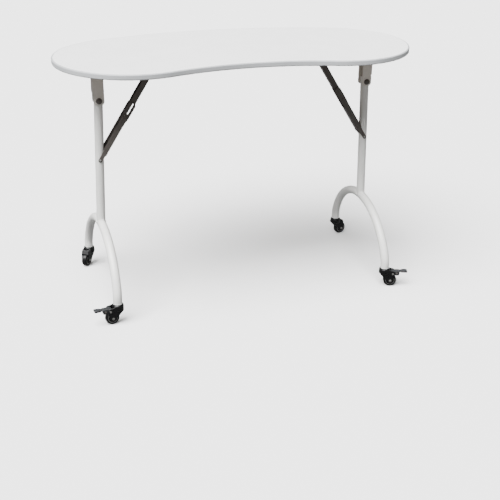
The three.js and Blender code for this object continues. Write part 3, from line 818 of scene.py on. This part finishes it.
def lever_shape():
    """Brake lever: cam housing over the tyre, a bar, and a wider pedal with grip ribs."""
    housing = rounded([(18.9, 47.5, 1), (18.9, 43.6), *arc(TRAIL, WHEEL_R, WHEEL_R + CAM_GAP, 76, 42, 12),
                       (44, 36, 2), (45.5, 43, 2), (46, 50.3, 1.5), (22, 50.5, 1)], 5)
    pedal = rounded([(50, 46, 1), (LEVER_END - 3, 45.2, 2), (LEVER_END, 47, 1), (LEVER_END, 50.4, 1.5),
                     (LEVER_END - 4, 51.6, 2), (54, 51, 1), (50, 50, 1)], 4)
    body = plate(housing, -LEVER_HALF, LEVER_HALF, 0.9, steps=3)
    bar = block(38, 56, -6, 6, 46.4, 50.4, 0.8, 1)
    pad = plate(pedal, -LEVER_HALF, LEVER_HALF, 1.2, steps=3)
    ribs = [block(x, x + 1.6, -6.6, 6.6, 49, 52.1, 0.3, 0.6) for x in (55.5, 59, 62.5)]
    shape = moulded(fused(body, bar, pad, *ribs), 0.5, 2)
    return carved(shape, rod_y(LEVER_PIN_R + 0.1, -THROUGH, THROUGH, *LEVER_PIVOT))


def plug_shape():
    """The tube plug's visible collar and its sleeve."""
    insert_r = TUBE_R - TUBE_WALL - 1.6
    return turned(rounded([(5.1, 59), (TUBE_R - 0.1, 59, 0.8), (TUBE_R - 0.1, ARCH_END_Z - 0.1, 0.5),
                           (insert_r, ARCH_END_Z - 0.1), (insert_r, 73), (5.1, 73)], 4), 56)


def make_casters():
    forks = {braked: fork_shape(braked) for braked in (True, False)}
    wheel, lever, plug = wheel_shape(), lever_shape(), plug_shape()
    stem_rod = turned([(0, 43.2), (4, 43.2), (4, 58.7), (5, 58.7), (5, 73.7), (4.6, 74), (0, 74)])
    far = CHEEK[1] + 0.1
    axle = headed_pin(AXLE_R, 2 * far, 4, 1.6, 4)
    lever_pin = headed_pin(LEVER_PIN_R, 2 * far, 3.2, 1.5, 3.2)
    stop_pin = headed_pin(1.4, 2 * LEVER_HALF, 2.6, 1.2, 2.6)
    for tag in CORNERS:
        stem = joint_place(f"swivel_{tag}")
        axis = joint_place(f"wheel_{tag}_spin")
        heading = atan2(axis.y - stem.y, axis.x - stem.x)
        foot = moved(stem.x, stem.y, 0)
        swivel = foot @ Matrix.Rotation(heading, 4, "Z")
        hub = swivel @ moved(TRAIL, 0, WHEEL_R)
        stand_in(f"tube_plug_{tag}", plug, foot)
        stand_in(f"caster_stem_{tag}", stem_rod, foot)
        stand_in(f"caster_fork_{tag}", forks[tag in BRAKED], swivel, smooth_angle=60)
        stand_in(f"caster_wheel_{tag}", wheel, hub, smooth_angle=50)
        stand_in(f"caster_axle_{tag}", axle, hub @ moved(0, -far, 0))
        # the light rings on both faces of each wheel are painted highlights on the black wheel
        for face, sign in (("near", -1), ("far", 1)):
            extra(f"wheel_ring_{face}_{tag}", wheel_highlight_ring(sign), hub, f"caster_wheel_{tag}", "zinc_steel")
        if tag in BRAKED:
            stand_in(f"brake_lever_{tag}", lever, swivel, smooth_angle=60)
            at_pivot = swivel @ moved(LEVER_PIVOT[0], -far, LEVER_PIVOT[1])
            stand_in(f"lever_pin_{tag}", lever_pin, at_pivot)
            at_stop = swivel @ moved(37.5, -LEVER_HALF, 43)
            extra(f"lever_stop_{tag}", stop_pin, at_stop, f"brake_lever_{tag}", "dark_steel")


make_top()
for side_tag in SIDES:
    make_side(side_tag)
make_casters()


# ================================================================ camera, floor and light
def make_camera():
    """The camera stands at the sitter's left, looking down at the table."""
    place = Vector((-0.7573, leg_y * MM - 2.4611, 1.2891))
    yaw, pitch, roll = radians(18.08), radians(25.14), radians(-0.86)
    ahead = Vector((sin(yaw) * cos(pitch), cos(yaw) * cos(pitch), -sin(pitch)))
    level = Vector((cos(yaw), -sin(yaw), 0))
    down = ahead.cross(level)
    right = level * cos(roll) + down * sin(roll)
    up = level * sin(roll) - down * cos(roll)
    camera = bpy.data.cameras.new("camera")
    camera.lens = 66.41
    camera.sensor_width = 36
    camera.clip_end = 100
    holder = bpy.data.objects.new("camera", camera)
    rotation = Matrix((right, up, -ahead)).transposed()
    holder.matrix_world = Matrix.Translation(place) @ rotation.to_4x4()
    bpy.context.scene.collection.objects.link(holder)
    bpy.context.scene.camera = holder


def make_floor():
    half, grey = 30, 0.82
    mesh = bpy.data.meshes.new("floor")
    corners = [(-half, -half, 0), (half, -half, 0), (half, half, 0), (-half, half, 0)]
    mesh.from_pydata(corners, [], [(0, 1, 2, 3)])
    material, shader = new_material("floor", 0.9)
    shader.inputs["Base Color"].default_value = (grey, grey, grey, 1)
    shader.inputs["Specular IOR Level"].default_value = 0.1
    mesh.materials.append(material)
    floor = bpy.data.objects.new("floor", mesh)
    bpy.context.scene.collection.objects.link(floor)
    floor.visible_diffuse = False
    floor.visible_glossy = False


def make_backdrop():
    """A pale dome round the floor, which the camera sees and which lights nothing."""
    material, shader = new_material("backdrop", 1.0)
    shader.inputs["Base Color"].default_value = (0, 0, 0, 1)
    shader.inputs["Specular IOR Level"].default_value = 0
    shader.inputs["Emission Color"].default_value = (1, 1, 1, 1)
    shader.inputs["Emission Strength"].default_value = 3.6
    shell = bmesh.new()
    bmesh.ops.create_uvsphere(shell, u_segments=64, v_segments=32, radius=44)
    mesh = bpy.data.meshes.new("backdrop")
    shell.to_mesh(mesh)
    shell.free()
    mesh.materials.append(material)
    dome = bpy.data.objects.new("backdrop", mesh)
    bpy.context.scene.collection.objects.link(dome)
    dome.visible_diffuse = False
    dome.visible_glossy = False
    dome.visible_shadow = False


def make_sun(name, toward, angle, strength):
    """A wide soft source that shines from a direction."""
    light = bpy.data.lights.new(name, "SUN")
    light.angle = radians(angle)
    light.energy = strength
    holder = bpy.data.objects.new(name, light)
    holder.rotation_euler = Vector(toward).to_track_quat("Z", "Y").to_euler()
    bpy.context.scene.collection.objects.link(holder)


def make_studio():
    world = bpy.data.worlds.new("studio")
    world.use_nodes = True
    world.node_tree.nodes["Background"].inputs["Color"].default_value = (1, 1, 1, 1)
    world.node_tree.nodes["Background"].inputs["Strength"].default_value = 0.4
    bpy.context.scene.world = world
    make_sun("overhead", toward=(-0.42, -0.3, 1.0), angle=50, strength=14.5)


make_camera()
make_floor()
make_backdrop()
make_studio()
